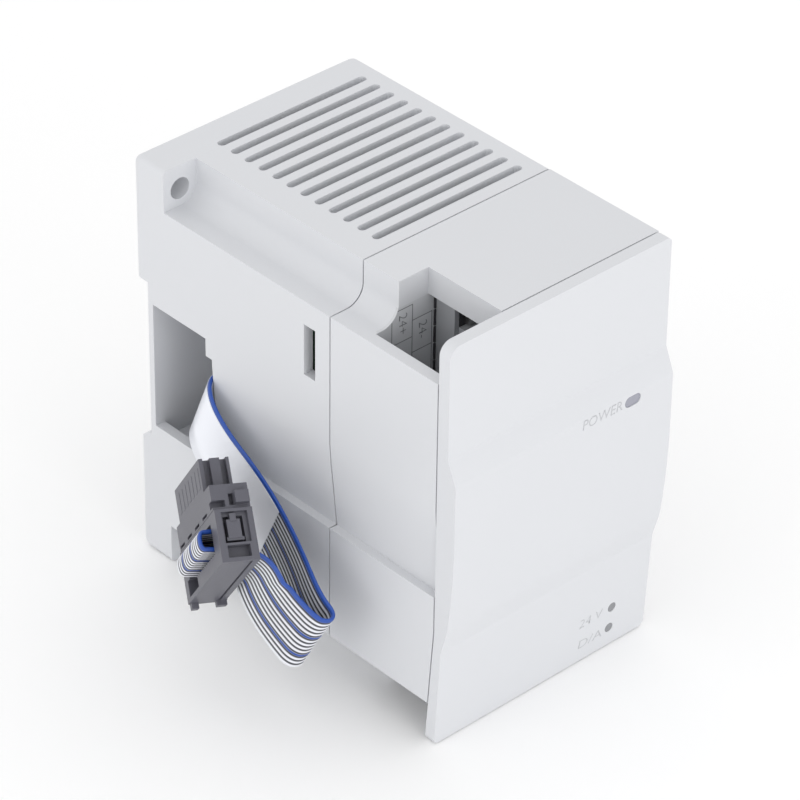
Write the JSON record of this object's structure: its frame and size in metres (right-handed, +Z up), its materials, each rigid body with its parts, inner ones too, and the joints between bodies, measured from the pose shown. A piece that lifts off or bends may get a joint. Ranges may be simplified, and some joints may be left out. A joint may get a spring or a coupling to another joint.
{
  "type": "plc extension module",
  "caption": "Off-white controller extension module for a 35 mm rail, with a hinged front cover, a side ribbon cable and its dark plug.",
  "frame": {"origin": "centre of the case's footprint at its lower face, halfway between the front bulge and the back", "axes": "+X to the right seen from the front, +Y from the front to the mounting face, +Z up"},
  "size_m": [0.0814, 0.0892, 0.09],
  "materials": {
    "case_plastic": "satin",
    "lens_plastic": "gloss",
    "steel": "brushed",
    "dark_plastic": "matte",
    "terminal_plastic": "satin",
    "tin_plate": "satin",
    "label_film": "satin",
    "circuit_board": "satin",
    "chip_plastic": "matte",
    "ferrite": "matte",
    "gold_plate": "polished",
    "ribbon_plastic": "satin",
    "connector_plastic": "matte"
  },
  "bodies": {
    "module": {"rear_case": "case_plastic", "front_case": "case_plastic", "rail_hook_springs": "steel", "terminal_strip": "terminal_plastic", "terminal_clamps": "steel", "terminal_screws": "steel", "terminal_tails": "tin_plate", "marking_plate": "label_film", "terminal_board": "circuit_board", "main_board": "circuit_board", "power_board": "circuit_board", "board_spacers": "steel", "board_screws": "steel", "board_link_connectors": "dark_plastic", "converter_chips": "chip_plastic", "isolator_chips": "chip_plastic", "processor_chip": "chip_plastic", "bus_chips": "chip_plastic", "crystal": "tin_plate", "power_transformer": "chip_plastic", "power_converter": "chip_plastic", "power_switch_chip": "chip_plastic", "capacitors": "tin_plate", "power_inductor": "ferrite", "display_board": "circuit_board", "status_lamps": "lens_plastic", "display_link": "dark_plastic", "extension_header": "dark_plastic", "extension_pins": "gold_plate", "case_screws": "steel", "rating_label": "label_film", "ribbon_cable": "ribbon_plastic", "ribbon_header": "dark_plastic", "connector_body": "connector_plastic", "connector_flange": "connector_plastic", "connector_cover": "connector_plastic", "connector_contacts": "gold_plate"},
    "cover": {"front_cover": "case_plastic", "power_lens": "lens_plastic", "supply_lens": "lens_plastic", "output_lens": "lens_plastic", "cover_hinge_pins": "steel"},
    "hook": {"rail_hook": "dark_plastic"}
  },
  "joints": [
    {"name": "cover_hinge", "type": "hinge", "parent": "module", "child": "cover", "pos_m": [0.026, -0.04125, 0.043], "axis": [0, 0, 1], "range_deg": [0, 100]},
    {"name": "hook_slide", "type": "slide", "parent": "module", "child": "hook", "axis": [0, 0, -1], "range_m": [0, 0.0035], "stiffness_N_per_m": 600, "deforming": ["rail_hook_springs"]}
  ]
}
